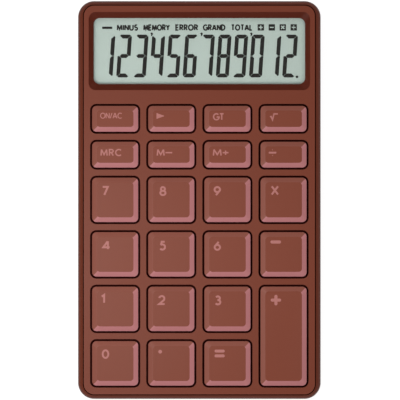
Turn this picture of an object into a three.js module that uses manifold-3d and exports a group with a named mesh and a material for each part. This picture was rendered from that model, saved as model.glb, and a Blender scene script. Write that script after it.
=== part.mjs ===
// Desk calculator: a wedge-shaped casing with a sloping deck, twenty-three sprung keys on a rubber
// membrane, a twelve-digit liquid crystal display and one AAA cell behind a sliding door.
// Millimetres, +Z up, +Y from the user towards the display, resting on four rubber feet at Z = 0.
import * as THREE from "three";
import { mergeVertices } from "three/addons/utils/BufferGeometryUtils.js";
import Module from "manifold-3d";

const wasm = await Module();
wasm.setup();

// ---------------------------------------------------------------- driving dimensions
// Casing. Deck dimensions are measured in the plane of the deck.
const BODY_WIDTH = 105;
const BODY_LENGTH = 172.2;
const BODY_CORNER = 7;
const DECK_TILT_DEG = 4; // the deck rises towards the display
const RIM_WIDTH = 2.1; // side wall of the rear shell, seen as a rim around the deck
const RIM_WIDTH_ENDS = 1.6; // the same wall at the front and the back
const SEAM_GAP = 0.4; // between the rim and the front shell
const RIM_DROP = 0.35; // inner edge of the rim below the deck
const RIM_SLOPE_INNER_DEG = 30;
const RIM_SLOPE_OUTER_DEG = 70;
const FLOOR_THICKNESS = 1.8;
const BOTTOM_CHAMFER = 1.2;
const DECK_THICKNESS = 1.8;
const SKIRT_THICKNESS = 1.3;
const SKIRT_DEPTH = 6;

// Keys: four columns, two rows of low keys behind four rows of square ones. The holes share out
// what the margins, the bridges and the display leave of the deck.
const SIDE_MARGIN = 5.24; // side of the casing to the outermost holes
const FRONT_MARGIN = 4.93; // front of the casing to the first holes
const BRIDGE = 2.6; // deck left between two key holes
const LOW_HOLE = 12.92; // length of the hole of a low key
const STRIP = 5.96; // deck left between the low keys and the bevel of the display
const KEY_HOLE_CORNER = 2.7;
const KEY_GAP = 0.85; // all round, between a key and its hole
const KEY_RISE = 1.3; // face of the key above the deck
const KEY_CHAMFER_WIDTH = 2.05;
const KEY_CHAMFER_DEPTH = 1.0;
const KEY_FACE_CORNER = 1.3;
const KEY_WALL = 1.3;
const KEY_FACE_THICKNESS = 1.6;
const KEY_TRAVEL = 1.2;
const FLANGE_OVERLAP = 0.5; // how far the flange hooks under the deck
const FLANGE_THICKNESS = 0.9;
const FLANGE_GAP = 0.3; // flange below the underside of the deck
const PLUNGER_RADIUS = 2.6;

// Display.
const DISPLAY_SIDE_MARGIN = 6.75; // side of the casing to the clear opening
const DISPLAY_BACK_MARGIN = 7.35; // back of the casing to the clear opening
const DISPLAY_LENGTH = 28.6; // clear opening
const DISPLAY_CORNER = 2.7;
const DISPLAY_BEVEL = 2.6; // front and back
const DISPLAY_BEVEL_SIDE = 2.15;
const DISPLAY_BEVEL_DEPTH = 2;
const DISPLAY_LIP = 0.4; // upright edge below the bevel
const GLASS_BORDER = 1; // glass beyond the opening, at each side
const WINDOW_BORDER = 1.9; // window beyond the opening, all round
const WINDOW_THICKNESS = 1.2;
const GASKET_THICKNESS = 0.5;
const GASKET_BORDER = 0.6; // opening of the gasket beyond the opening of the deck
const FILM_THICKNESS = 0.2;
const GLASS_THICKNESS = 1.05;
const GLASS_LEDGE = 1.4; // contact ledge of the rear glass
const TRAY_WALL = 0.8;
const TRAY_FLOOR = 1.3;
const TRAY_SHIFT = 0.3; // towards the back edge, to clear the screw bosses
const RIBBON_WIDTH = 66;
const RIBBON_THICKNESS = 0.15;

// Board and membrane.
const DOME_ROOM = 2.6; // plunger to board when the key is down
const BOARD_THICKNESS = 1.2;
const BOARD_CLEARANCE = 2.1; // front edge of the board above the floor
const MEMBRANE_THICKNESS = 0.8;
const DOME_BASE_RADIUS = 4.8;
const DOME_TOP_RADIUS = 3.1;
const DOME_WALL = 0.7;
const DOME_GAP = 0.25; // plunger above the dome

// Fasteners.
const SCREW_RADIUS = 1;
const SCREW_CLEARANCE = 0.2;
const SCREW_BITE = 3.6; // length of the shank inside the boss
const SCREW_HEAD_RADIUS = 1.8;
const SCREW_HEAD_HEIGHT = 1.3;
const SCREW_SEAT = 1.5; // plastic between a case screw's head and the board
const BOSS_RADIUS = 1.9;
const PILLAR_RADIUS = 3;

// Feet, battery and door.
const FOOT_RADIUS = 4.5;
const FOOT_HEIGHT = 0.8; // below the floor
const FOOT_SINK = 0.6; // into the floor
const FOOT_INSET_X = 10;
const FOOT_INSET_Y = 11;
const CELL_RADIUS = 5.25;
const CELL_LENGTH = 44.5;
const CELL_NUB_LENGTH = 1.2;
const CELL_NUB_RADIUS = 1.9;
const CELL_SPRING_ROOM = 4.6;
const CELL_WALL = 1.5;
const CELL_WALL_DROP = 1.9; // top of the walls round the cell, below the top of the cell
const CELL_BACK_ROOM = 2.05; // cell to the inner face of the back wall, at floor level
const CELL_OVER_FLOOR = 1.3;
const CELL_TRAY_ROOM = 1.1; // cell to the underside of the display tray
const CONTACT_THICKNESS = 0.4;
const DOOR_GAP = 0.3;
const DOOR_WALL_TOP = 8;
const LEAD_RADIUS = 0.6;

// Clearances and fineness.
const FIT = 0.2; // loose fit between inner pieces
const FACE_GAP = 0.05; // between faces that lie on each other
const CORNER_STEPS = 2; // curve divisions of a small corner
const BODY_CORNER_STEPS = 8;
const ROUND_STEPS = 12;
const BEYOND = 60; // overshoot of a cutting solid

// ---------------------------------------------------------------- derived places
// Heights named in the deck's frame are measured from its surface, and are negative inside.
const tilt = THREE.MathUtils.degToRad(DECK_TILT_DEG);
const frontInset = RIM_WIDTH + SEAM_GAP;
const deckUnderside = -DECK_THICKNESS;
const flangeTop = deckUnderside - FLANGE_GAP;
const flangeBottom = flangeTop - FLANGE_THICKNESS;
const plungerTip = flangeBottom - FIT;
const domeTop = plungerTip - DOME_GAP;
const boardTop = plungerTip - KEY_TRAVEL - DOME_ROOM;
const boardBottom = boardTop - BOARD_THICKNESS;
const membraneBottom = boardTop + FACE_GAP;
const membraneTop = membraneBottom + MEMBRANE_THICKNESS;
const boardFront = -BODY_LENGTH / 2 + frontInset + SKIRT_THICKNESS + 0.5;

// Key holes.
const holeWidth = (BODY_WIDTH - 2 * SIDE_MARGIN - 3 * BRIDGE) / 4;
const columnPitch = holeWidth + BRIDGE;
const columns = [-1.5, -0.5, 0.5, 1.5].map((n) => n * columnPitch);
const displayWidth = BODY_WIDTH - 2 * DISPLAY_SIDE_MARGIN;
const displayCentre = BODY_LENGTH / 2 - DISPLAY_BACK_MARGIN - DISPLAY_LENGTH / 2;
const stripBack = displayCentre - DISPLAY_LENGTH / 2 - DISPLAY_BEVEL;
const stripFront = stripBack - STRIP;
const stripCentre = (stripFront + stripBack) / 2;
const lowPitch = LOW_HOLE + BRIDGE;
const lowRows = [0, 1].map((n) => stripFront - LOW_HOLE / 2 - n * lowPitch);
const squareBack = stripFront - 2 * lowPitch;
const squareHole = (squareBack + BODY_LENGTH / 2 - FRONT_MARGIN - 3 * BRIDGE) / 4;
const squarePitch = squareHole + BRIDGE;
const squareRows = [0, 1, 2, 3].map((n) => squareBack - squareHole / 2 - n * squarePitch);

// Display stack, from the window down to the underside of its tray.
const windowTop = -DISPLAY_BEVEL_DEPTH - DISPLAY_LIP;
const windowBottom = windowTop - WINDOW_THICKNESS - FACE_GAP;
const gasketTop = windowBottom - FACE_GAP;
const gasketBottom = gasketTop - GASKET_THICKNESS;
const frontFilmTop = gasketBottom - FACE_GAP;
const frontGlassTop = frontFilmTop - FILM_THICKNESS - FACE_GAP;
const rearGlassTop = frontGlassTop - GLASS_THICKNESS - FACE_GAP;
const rearFilmTop = rearGlassTop - GLASS_THICKNESS - FACE_GAP;
const trayFloorTop = rearFilmTop - FILM_THICKNESS - FACE_GAP;
const trayBottom = trayFloorTop - TRAY_FLOOR;

// Levels in the table's frame. The deck is as low as the cell under the display and the board at
// the front let it be.
const floorOuter = FOOT_HEIGHT;
const floorInner = FOOT_HEIGHT + FLOOR_THICKNESS;
const cellZ = floorInner + CELL_OVER_FLOOR + CELL_RADIUS;
const cellWallTop = cellZ + CELL_RADIUS - CELL_WALL_DROP;
const cellInset = RIM_WIDTH + CELL_BACK_ROOM + CELL_RADIUS;
const halfLength = BODY_LENGTH / 2;
const cellRun =
  halfLength * Math.cos(tilt) + (halfLength * Math.sin(tilt) - floorOuter) * Math.tan(tilt) - cellInset;
const overCell =
  (cellZ + CELL_RADIUS + CELL_TRAY_ROOM - trayBottom / Math.cos(tilt) - cellRun * Math.tan(tilt)) *
  Math.cos(tilt) ** 2;
const overBoard =
  floorInner + BOARD_CLEARANCE - boardBottom * Math.cos(tilt) - boardFront * Math.sin(tilt);
const deckHeight = Math.max(overCell, overBoard);
const deckToBase = new THREE.Matrix4().makeRotationX(tilt).setPosition(0, 0, deckHeight);
const backAtFloor =
  halfLength * Math.cos(tilt) + (deckHeight + halfLength * Math.sin(tilt) - floorOuter) * Math.tan(tilt);
const cellY = backAtFloor - cellInset;

// Where four keys meet there is just room for a boss.
const crossing = (column, upperRow, lowerRow) => [
  (columns[column] + columns[column + 1]) / 2,
  (upperRow + lowerRow) / 2,
];
const lowCrossing = (column) => crossing(column, lowRows[0], lowRows[1]);
const squareCrossing = (column, row) => crossing(column, squareRows[row], squareRows[row + 1]);
const stripScrewX = columns[3] + holeWidth / 4;
const caseScrews = [
  [-stripScrewX, stripCentre],
  [stripScrewX, stripCentre],
  squareCrossing(0, 0),
  squareCrossing(2, 0),
  squareCrossing(0, 2),
  squareCrossing(1, 2),
];
const boardScrews = [lowCrossing(0), lowCrossing(2), squareCrossing(0, 1), squareCrossing(2, 1)];

// ---------------------------------------------------------------- shapes and solids
function roundedRect(width, length, radius, x = 0, y = 0) {
  const r = Math.max(radius, 0.05);
  const right = x + width / 2 - r;
  const left = x - width / 2 + r;
  const back = y + length / 2 - r;
  const front = y - length / 2 + r;
  const shape = new THREE.Shape();
  shape.absarc(right, front, r, -Math.PI / 2, 0);
  shape.absarc(right, back, r, 0, Math.PI / 2);
  shape.absarc(left, back, r, Math.PI / 2, Math.PI);
  shape.absarc(left, front, r, Math.PI, 1.5 * Math.PI);
  shape.closePath();
  return shape;
}

function plate(shape, bottom, top, steps = CORNER_STEPS) {
  const settings = { depth: top - bottom, bevelEnabled: false, curveSegments: steps };
  return new THREE.ExtrudeGeometry(shape, settings).translate(0, 0, bottom);
}

function box(x0, x1, y0, y1, z0, z1) {
  const geometry = new THREE.BoxGeometry(x1 - x0, y1 - y0, z1 - z0);
  return geometry.translate((x0 + x1) / 2, (y0 + y1) / 2, (z0 + z1) / 2);
}

function post(radius, bottom, top, x = 0, y = 0, steps = ROUND_STEPS, topRadius = radius) {
  const geometry = new THREE.CylinderGeometry(topRadius, radius, top - bottom, steps);
  return geometry.rotateX(Math.PI / 2).translate(x, y, (bottom + top) / 2);
}

// A closed skin through a stack of outlines with the same number of points, lowest first.
function loft(sections, steps = CORNER_STEPS) {
  const rings = sections.map(([shape, z]) => {
    const points = shape.getPoints(steps);
    const closed = points[0].distanceTo(points.at(-1)) < 1e-6;
    return (closed ? points.slice(0, -1) : points).map((p) => new THREE.Vector3(p.x, p.y, z));
  });
  const count = rings[0].length;
  const index = [];
  for (let ring = 0; ring + 1 < rings.length; ring++)
    for (let i = 0; i < count; i++) {
      const a = ring * count + i;
      const b = ring * count + ((i + 1) % count);
      index.push(a, b, b + count, a, b + count, a + count);
    }
  const cap = THREE.ShapeUtils.triangulateShape(
    rings[0].map((p) => new THREE.Vector2(p.x, p.y)),
    [],
  );
  const last = (rings.length - 1) * count;
  for (const [a, b, c] of cap) index.push(c, b, a, last + a, last + b, last + c);
  return new THREE.BufferGeometry().setFromPoints(rings.flat()).setIndex(index);
}

function solid(geometry) {
  const flat = geometry.index ? geometry.toNonIndexed() : geometry;
  const bare = new THREE.BufferGeometry().setAttribute("position", flat.getAttribute("position"));
  const merged = mergeVertices(bare, 1e-3);
  const mesh = new wasm.Mesh({
    numProp: 3,
    vertProperties: merged.attributes.position.array,
    triVerts: new Uint32Array(merged.index.array),
  });
  return new wasm.Manifold(mesh);
}

const inBase = (geometry) => solid(geometry.applyMatrix4(deckToBase));
const joined = (first, ...others) => others.reduce((sum, next) => sum.add(next), first);
const cutBy = (first, ...others) => others.reduce((rest, next) => rest.subtract(next), first);

function geometryOf(manifold) {
  const { vertProperties, triVerts } = manifold.getMesh();
  const geometry = new THREE.BufferGeometry();
  geometry.setAttribute("position", new THREE.BufferAttribute(new Float32Array(vertProperties), 3));
  geometry.setIndex(new THREE.BufferAttribute(new Uint32Array(triVerts), 1));
  geometry.computeVertexNormals();
  return geometry;
}

// ---------------------------------------------------------------- materials
const finish = (color, roughness, metalness = 0) =>
  new THREE.MeshStandardMaterial({ color, roughness, metalness });
const casePlastic = finish(0x8a4a3c, 0.55);
const keyPlastic = finish(0x93564a, 0.5);
const clearAcrylic = finish(0xe8efec, 0.08);
const foam = finish(0x2b2b2d, 0.95);
const glass = finish(0xc5d1c8, 0.1);
const film = finish(0xb9c5ba, 0.4);
const blackPlastic = finish(0x1f1f21, 0.6);
const copperFilm = finish(0xb0763c, 0.4, 0.2);
const boardLaminate = finish(0x2f6b45, 0.5);
const siliconeRubber = finish(0xd8d4cc, 0.8);
const blackResin = finish(0x18181a, 0.35);
const nickel = finish(0xb9b7b0, 0.3, 0.9);
const blackRubber = finish(0x242325, 0.9);
const cellJacket = finish(0x3d4a63, 0.4, 0.3);
const redInsulation = finish(0xa82a22, 0.5);
const blackInsulation = finish(0x202020, 0.5);

// ---------------------------------------------------------------- scene graph
const part = new THREE.Group();
const base = new THREE.Group(); // parallel to the table
const deck = new THREE.Group(); // its XY plane is the surface of the deck
deck.applyMatrix4(deckToBase);
part.add(base);
base.add(deck);

function place(parent, name, shape, material) {
  const geometry = shape.isBufferGeometry ? shape : geometryOf(shape);
  const mesh = new THREE.Mesh(geometry, material);
  mesh.name = name;
  parent.add(mesh);
}

// ---------------------------------------------------------------- rear shell and battery door
// Outline of the body drawn in by an amount, less at the thinner front and back walls.
function outline(inset) {
  const endInset = inset - Math.min(inset, RIM_WIDTH) * (1 - RIM_WIDTH_ENDS / RIM_WIDTH);
  return roundedRect(BODY_WIDTH - 2 * inset, BODY_LENGTH - 2 * endInset, BODY_CORNER - inset);
}

// Full volume of the casing: upright walls with a rounded shoulder, in the frame of the deck.
function casingBlock() {
  const outer = THREE.MathUtils.degToRad(RIM_SLOPE_OUTER_DEG);
  const inner = THREE.MathUtils.degToRad(RIM_SLOPE_INNER_DEG);
  const radius = RIM_WIDTH / (Math.sin(outer) - Math.sin(inner));
  const fall = radius * (Math.cos(inner) - Math.cos(outer));
  const sections = [[outline(0), -BEYOND]];
  const steps = 4;
  for (let i = 0; i <= steps; i++) {
    const slope = outer + ((inner - outer) * i) / steps;
    const inset = radius * (Math.sin(outer) - Math.sin(slope));
    const rise = radius * (Math.cos(slope) - Math.cos(outer));
    sections.push([outline(inset), rise - fall - RIM_DROP]);
  }
  return inBase(loft(sections, BODY_CORNER_STEPS));
}

// Everything above a level plane, with a 45 degree flare that chamfers the edge of the floor.
function aboveFloor(level, inset, chamfer) {
  const length = BODY_LENGTH / Math.cos(tilt);
  const section = (grow, z) => {
    const y = (deckHeight - level) * Math.tan(tilt);
    const width = BODY_WIDTH + 2 * grow;
    return [roundedRect(width, length + 2 * grow, BODY_CORNER + grow, 0, y), z];
  };
  const start = -inset - chamfer;
  const flare = 6;
  const sections = [
    section(start, level),
    section(start + flare, level + flare),
    section(start + flare, level + BEYOND),
  ];
  return solid(loft(sections, BODY_CORNER_STEPS));
}

const block = casingBlock().intersect(aboveFloor(floorOuter, 0, BOTTOM_CHAMFER));
const cavity = inBase(plate(outline(RIM_WIDTH), -BEYOND, BEYOND, BODY_CORNER_STEPS)).intersect(
  aboveFloor(floorInner, RIM_WIDTH, BOTTOM_CHAMFER),
);
const tub = block.subtract(cavity);

const cellRoom = CELL_LENGTH + CELL_SPRING_ROOM + 2 * CONTACT_THICKNESS + FIT;
const cellEnd = cellRoom / 2;
const doorHalf = cellEnd - FIT - DOOR_GAP;
const doorFront = cellY - CELL_RADIUS - FIT - 0.8;
const partitionBack = doorFront - DOOR_GAP - 0.1;
const partitionFront = partitionBack - CELL_WALL;

const doorRegion = (grow) =>
  solid(
    box(-doorHalf - grow, doorHalf + grow, doorFront - grow, BEYOND * 2, -BEYOND, DOOR_WALL_TOP + grow),
  );

const tongueBottom = floorInner + 0.15;
const tongueTop = tongueBottom + 0.9;
const tongueTip = partitionFront - 1.1;
const tongueX = doorHalf * 0.6;
const tongueHalf = 3;

function doorTongues(grow) {
  const tongues = [-tongueX, tongueX].map((x) => {
    const root = box(x - tongueHalf, x + tongueHalf, doorFront + 0.4, doorFront + 3, floorInner - 0.3, tongueTop);
    const reach = box(
      x - tongueHalf - grow,
      x + tongueHalf + grow,
      tongueTip - grow,
      doorFront + 1,
      tongueBottom - grow,
      tongueTop + grow,
    );
    return joined(solid(root), solid(reach));
  });
  return joined(...tongues);
}

function batteryDoor() {
  const grooves = [0, 1, 2].map((n) => {
    const y = backAtFloor - 6 - n * 2;
    return solid(box(-8, 8, y - 0.5, y + 0.5, floorOuter - 1, floorOuter + 0.5));
  });
  return cutBy(joined(tub.intersect(doorRegion(0)), doorTongues(0)), ...grooves);
}

function rearShell() {
  const pillarTop = boardBottom - FIT;
  const pillars = caseScrews.map(([x, y]) => inBase(post(PILLAR_RADIUS, -BEYOND, pillarTop, x, y)));
  const seat = boardBottom - FIT - SCREW_SEAT;
  const bores = caseScrews.flatMap(([x, y]) => [
    inBase(post(SCREW_RADIUS + SCREW_CLEARANCE, -BEYOND, BEYOND, x, y)),
    inBase(post(SCREW_HEAD_RADIUS + SCREW_CLEARANCE, -BEYOND, seat, x, y)),
  ]);
  const ribX = cellEnd + 12;
  const ribs = [-ribX, ribX].map((x) =>
    inBase(box(x - 0.8, x + 0.8, displayCentre - 10, displayCentre + 10, -BEYOND, trayBottom - FIT)),
  );
  const wallEnds = [-1, 1].map((side) => {
    const a = side * cellEnd;
    const b = side * (cellEnd + CELL_WALL);
    return solid(box(Math.min(a, b), Math.max(a, b), partitionFront, BEYOND * 2, 0, cellWallTop));
  });
  const partition = solid(
    box(-cellEnd - CELL_WALL, cellEnd + CELL_WALL, partitionFront, partitionBack, 0, cellWallTop),
  );
  const inner = joined(...pillars, ...ribs, ...wallEnds, partition).intersect(block);
  const sockets = footPlaces.map(([x, y]) =>
    solid(post(FOOT_RADIUS + FIT, -BEYOND, floorOuter + FOOT_SINK, x, y)),
  );
  return cutBy(joined(tub, inner), ...bores, ...sockets, doorRegion(DOOR_GAP), doorTongues(FIT));
}

const baseCentreY = (deckHeight - floorOuter) * Math.tan(tilt);
const footY = BODY_LENGTH / 2 - FOOT_INSET_Y;
const footX = BODY_WIDTH / 2 - FOOT_INSET_X;
const footPlaces = [
  [-footX, baseCentreY - footY],
  [footX, baseCentreY - footY],
  [-footX, baseCentreY + footY],
  [footX, baseCentreY + footY],
];
const footNames = ["foot_front_left", "foot_front_right", "foot_back_left", "foot_back_right"];

// ---------------------------------------------------------------- display
const trayTop = windowBottom - FACE_GAP;
const trayCentre = displayCentre + TRAY_SHIFT;
const glassWidth = displayWidth + 2 * GLASS_BORDER;
const glassLength = DISPLAY_LENGTH + DISPLAY_BEVEL + GLASS_BORDER;
const trayWidth = glassWidth + 2 * (TRAY_WALL + FIT);
const trayLength = glassLength + 2 * (TRAY_WALL + FIT);
const windowWidth = displayWidth + 2 * WINDOW_BORDER;
const windowLength = DISPLAY_LENGTH + 2 * WINDOW_BORDER;

function centredBox(width, length, y, bottom, top) {
  return box(-width / 2, width / 2, y - length / 2, y + length / 2, bottom, top);
}

function gasket() {
  const opening = displayWidth + 2 * GASKET_BORDER;
  const openingLength = DISPLAY_LENGTH + 2 * GASKET_BORDER;
  const frame = solid(centredBox(windowWidth, windowLength, displayCentre, gasketBottom, gasketTop));
  return cutBy(frame, solid(centredBox(opening, openingLength, displayCentre, -BEYOND, BEYOND)));
}

function displayTray() {
  const room = frontInset + SKIRT_THICKNESS + 2 * FIT;
  const outer = solid(centredBox(trayWidth, trayLength, trayCentre, trayBottom, trayTop)).intersect(
    solid(plate(outline(room), -BEYOND, 0, BODY_CORNER_STEPS)),
  );
  const pocketWidth = trayWidth - 2 * TRAY_WALL;
  const pocketLength = trayLength - 2 * TRAY_WALL;
  const pocket = solid(centredBox(pocketWidth, pocketLength, trayCentre, trayFloorTop, BEYOND));
  const gasketRoom = solid(
    centredBox(windowWidth + 2 * FIT, windowLength + 2 * FIT, displayCentre, gasketBottom - FIT, BEYOND),
  );
  const slotHalf = RIBBON_WIDTH / 2 + FIT;
  const front = trayCentre - trayLength / 2;
  const slot = solid(
    box(-slotHalf, slotHalf, front - 1, front + TRAY_WALL + 1, rearGlassTop - FIT, BEYOND),
  );
  return cutBy(outer, pocket, gasketRoom, slot);
}

// Flexible film from the contact ledge of the rear glass down to the board.
function displayRibbon() {
  const start = trayCentre - glassLength / 2 + GLASS_LEDGE - FIT;
  const bend = trayCentre - trayLength / 2 - 0.6;
  const high = rearGlassTop + FACE_GAP + RIBBON_THICKNESS / 2;
  const low = boardTop + FACE_GAP + RIBBON_THICKNESS / 2;
  const end = stripCentre - 1.6;
  const half = RIBBON_THICKNESS / 2;
  const fall = high - low;
  const shape = new THREE.Shape();
  shape.moveTo(start, high - half);
  shape.lineTo(start, high + half);
  shape.lineTo(bend, high + half);
  shape.bezierCurveTo(bend - fall, high + half, bend - fall * 0.4, low + half, bend - fall * 1.4, low + half);
  shape.lineTo(end, low + half);
  shape.lineTo(end, low - half);
  shape.lineTo(bend - fall * 1.4 + half, low - half);
  shape.bezierCurveTo(bend - fall * 0.4 + half, low - half, bend - fall + half, high - half, bend + half, high - half);
  shape.closePath();
  // The outline lies in the plane of Y and Z, and its width runs along X.
  const turn = new THREE.Matrix4().makeBasis(
    new THREE.Vector3(0, 1, 0),
    new THREE.Vector3(0, 0, 1),
    new THREE.Vector3(1, 0, 0),
  );
  const strip = plate(shape, -RIBBON_WIDTH / 2, RIBBON_WIDTH / 2, 5);
  return strip.applyMatrix4(turn);
}

// ---------------------------------------------------------------- keys
const keyNames = [
  ["key_on_clear", "key_back_step", "key_grand_total", "key_square_root"],
  ["key_memory_recall", "key_memory_minus", "key_memory_plus", "key_divide"],
  ["key_7", "key_8", "key_9", "key_multiply"],
  ["key_4", "key_5", "key_6", "key_minus"],
  ["key_1", "key_2", "key_3", "key_plus"],
  ["key_0", "key_point", "key_equals"],
];

// Each key: name, centre and the size of its hole. The plus key is two squares and a bridge long.
const keys = keyNames.flatMap((names, row) =>
  names.map((name, column) => {
    const low = row < lowRows.length;
    const tall = name === "key_plus";
    const y = low ? lowRows[row] : squareRows[row - lowRows.length];
    return {
      name,
      x: columns[column],
      y: tall ? y - squarePitch / 2 : y,
      holeLength: low ? LOW_HOLE : tall ? 2 * squareHole + BRIDGE : squareHole,
      domes: tall ? [-squarePitch / 2, squarePitch / 2] : [0],
    };
  }),
);

function keyCap({ holeLength, domes }) {
  const width = holeWidth - 2 * KEY_GAP;
  const length = holeLength - 2 * KEY_GAP;
  const corner = KEY_HOLE_CORNER - KEY_GAP;
  const side = roundedRect(width, length, corner);
  const chamfer = 2 * KEY_CHAMFER_WIDTH;
  const cap = loft([
    [side, flangeTop - 0.01],
    [side, KEY_RISE - KEY_CHAMFER_DEPTH],
    [roundedRect(width - chamfer, length - chamfer, KEY_FACE_CORNER), KEY_RISE],
  ]);
  const grow = 2 * FLANGE_OVERLAP;
  const flange = plate(
    roundedRect(holeWidth + grow, holeLength + grow, KEY_HOLE_CORNER + FLANGE_OVERLAP),
    flangeBottom,
    flangeTop,
  );
  const wall = 2 * KEY_WALL;
  const hollow = box(
    -(width - wall) / 2,
    (width - wall) / 2,
    -(length - wall) / 2,
    (length - wall) / 2,
    -BEYOND,
    KEY_RISE - KEY_FACE_THICKNESS,
  );
  const plungers = domes.map((y) => solid(post(PLUNGER_RADIUS, plungerTip, KEY_RISE - 0.8, 0, y, 8)));
  return joined(cutBy(joined(solid(cap), solid(flange)), solid(hollow)), ...plungers);
}

// ---------------------------------------------------------------- front shell
function frontShell() {
  const skirtInner = frontInset + SKIRT_THICKNESS;
  const shell = solid(plate(outline(frontInset), -SKIRT_DEPTH, 0, BODY_CORNER_STEPS)).subtract(
    solid(plate(outline(skirtInner), -BEYOND, deckUnderside, BODY_CORNER_STEPS)),
  );
  const surround = solid(
    centredBox(
      BODY_WIDTH - 2 * skirtInner + 0.4,
      windowLength + 2,
      displayCentre,
      windowBottom,
      deckUnderside + 0.1,
    ),
  );
  const bossList = [...caseScrews, ...boardScrews].map(([x, y]) =>
    solid(post(BOSS_RADIUS, membraneBottom + FIT, deckUnderside + 0.1, x, y)),
  );
  const pilots = [...caseScrews, ...boardScrews].map(([x, y]) =>
    solid(post(SCREW_RADIUS + SCREW_CLEARANCE / 2, -BEYOND, deckUnderside - 0.6, x, y)),
  );
  const holes = keys.map(({ x, y, holeLength }) =>
    solid(plate(roundedRect(holeWidth, holeLength, KEY_HOLE_CORNER, x, y), -BEYOND, BEYOND)),
  );
  const opening = (share) => {
    const width = displayWidth + 2 * share * DISPLAY_BEVEL_SIDE;
    const length = DISPLAY_LENGTH + 2 * share * DISPLAY_BEVEL;
    const corner = DISPLAY_CORNER + share * DISPLAY_BEVEL * 0.6;
    return roundedRect(width, length, corner, 0, displayCentre);
  };
  const bevel = loft([
    [opening(0), -BEYOND],
    [opening(0), -DISPLAY_BEVEL_DEPTH],
    [opening(1), 0],
    [opening(2), DISPLAY_BEVEL_DEPTH],
  ]);
  const pocket = solid(
    centredBox(windowWidth + 2 * FIT, windowLength + 2 * FIT, displayCentre, -BEYOND, windowTop),
  );
  return cutBy(joined(shell, surround, ...bossList), ...pilots, ...holes, solid(bevel), pocket);
}

// ---------------------------------------------------------------- board, membrane and components
const boardHalfWidth = BODY_WIDTH / 2 - frontInset - SKIRT_THICKNESS - 0.5;
const boardBack = trayCentre - trayLength / 2 - 0.5;
const membraneBack = stripFront - 0.6;

function mainBoard() {
  const laminate = solid(
    box(-boardHalfWidth, boardHalfWidth, boardFront, boardBack, boardBottom, boardTop),
  );
  const holes = [...caseScrews, ...boardScrews].map(([x, y]) =>
    solid(post(SCREW_RADIUS + SCREW_CLEARANCE, -BEYOND, BEYOND, x, y)),
  );
  return cutBy(laminate, ...holes);
}

function keyMembrane() {
  const sheet = solid(
    box(
      -boardHalfWidth + 0.4,
      boardHalfWidth - 0.4,
      boardFront + 0.4,
      membraneBack,
      membraneBottom,
      membraneTop,
    ),
  );
  const bossHoles = [...caseScrews, ...boardScrews].map(([x, y]) =>
    solid(post(BOSS_RADIUS + 2 * FIT, -BEYOND, BEYOND, x, y)),
  );
  const places = keys.flatMap(({ x, y, domes }) => domes.map((offset) => [x, y + offset]));
  const steps = 10;
  const domes = places.map(([x, y]) =>
    solid(post(DOME_BASE_RADIUS, membraneTop - 0.1, domeTop, x, y, steps, DOME_TOP_RADIUS)),
  );
  const hollows = places.map(([x, y]) =>
    solid(
      post(
        DOME_BASE_RADIUS - DOME_WALL,
        membraneBottom - 1,
        domeTop - 1,
        x,
        y,
        steps,
        DOME_TOP_RADIUS - DOME_WALL,
      ),
    ),
  );
  return cutBy(joined(sheet, ...domes), ...bossHoles, ...hollows);
}

// Pan-head screw standing on +Z with its seat at Z = 0 and a cross recess in its head.
function screw(shankLength) {
  const profile = [
    [0, -SCREW_HEAD_HEIGHT],
    [SCREW_HEAD_RADIUS * 0.75, -SCREW_HEAD_HEIGHT],
    [SCREW_HEAD_RADIUS, -SCREW_HEAD_HEIGHT * 0.6],
    [SCREW_HEAD_RADIUS, 0],
    [SCREW_RADIUS, 0],
    [SCREW_RADIUS, shankLength - 0.8],
    [0, shankLength],
  ].map(([r, z]) => new THREE.Vector2(r, z));
  const body = solid(new THREE.LatheGeometry(profile, 12).rotateX(Math.PI / 2));
  const arm = SCREW_HEAD_RADIUS * 0.6;
  const recessTop = -SCREW_HEAD_HEIGHT + 0.7;
  const recess = [
    box(-arm, arm, -0.22, 0.22, -BEYOND, recessTop),
    box(-0.22, 0.22, -arm, arm, -BEYOND, recessTop),
  ].map(solid);
  return cutBy(body, ...recess);
}

// ---------------------------------------------------------------- battery and contacts
function batteryCell() {
  const body = CELL_LENGTH - CELL_NUB_LENGTH;
  const profile = [
    [0, 0],
    [CELL_RADIUS - 0.4, 0],
    [CELL_RADIUS, 0.4],
    [CELL_RADIUS, body - 0.4],
    [CELL_RADIUS - 0.4, body],
    [CELL_NUB_RADIUS, body],
    [CELL_NUB_RADIUS, CELL_LENGTH],
    [0, CELL_LENGTH],
  ].map(([r, z]) => new THREE.Vector2(r, z));
  return new THREE.LatheGeometry(profile, 24).rotateZ(-Math.PI / 2);
}

class ConicalCoil extends THREE.Curve {
  constructor(startRadius, endRadius, length, turns) {
    super();
    Object.assign(this, { startRadius, endRadius, length, turns });
  }
  getPoint(t, target = new THREE.Vector3()) {
    const radius = this.startRadius + (this.endRadius - this.startRadius) * t;
    const angle = 2 * Math.PI * this.turns * t;
    return target.set(this.length * t, radius * Math.cos(angle), radius * Math.sin(angle));
  }
}

function wireAlong(curve, radius, steps, sides = 8) {
  const section = new THREE.Shape().absarc(0, 0, radius, 0, 2 * Math.PI);
  const settings = { steps, extrudePath: curve, curveSegments: sides / 2, bevelEnabled: false };
  return new THREE.ExtrudeGeometry(section, settings);
}

const contactFoot = cellZ - CELL_RADIUS + 1;
const contactTop = cellWallTop + 0.4;

function contactPlate(side) {
  const outer = side * (cellEnd - FACE_GAP * 2);
  const inner = outer - side * CONTACT_THICKNESS;
  const tabEnd = outer - side * 1.6;
  const blade = box(Math.min(outer, inner), Math.max(outer, inner), cellY - 4, cellY + 4, contactFoot, contactTop);
  const tab = box(
    Math.min(outer, tabEnd),
    Math.max(outer, tabEnd),
    cellY - 4,
    cellY - 2,
    contactTop - CONTACT_THICKNESS,
    contactTop,
  );
  return joined(solid(blade), solid(tab));
}

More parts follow.
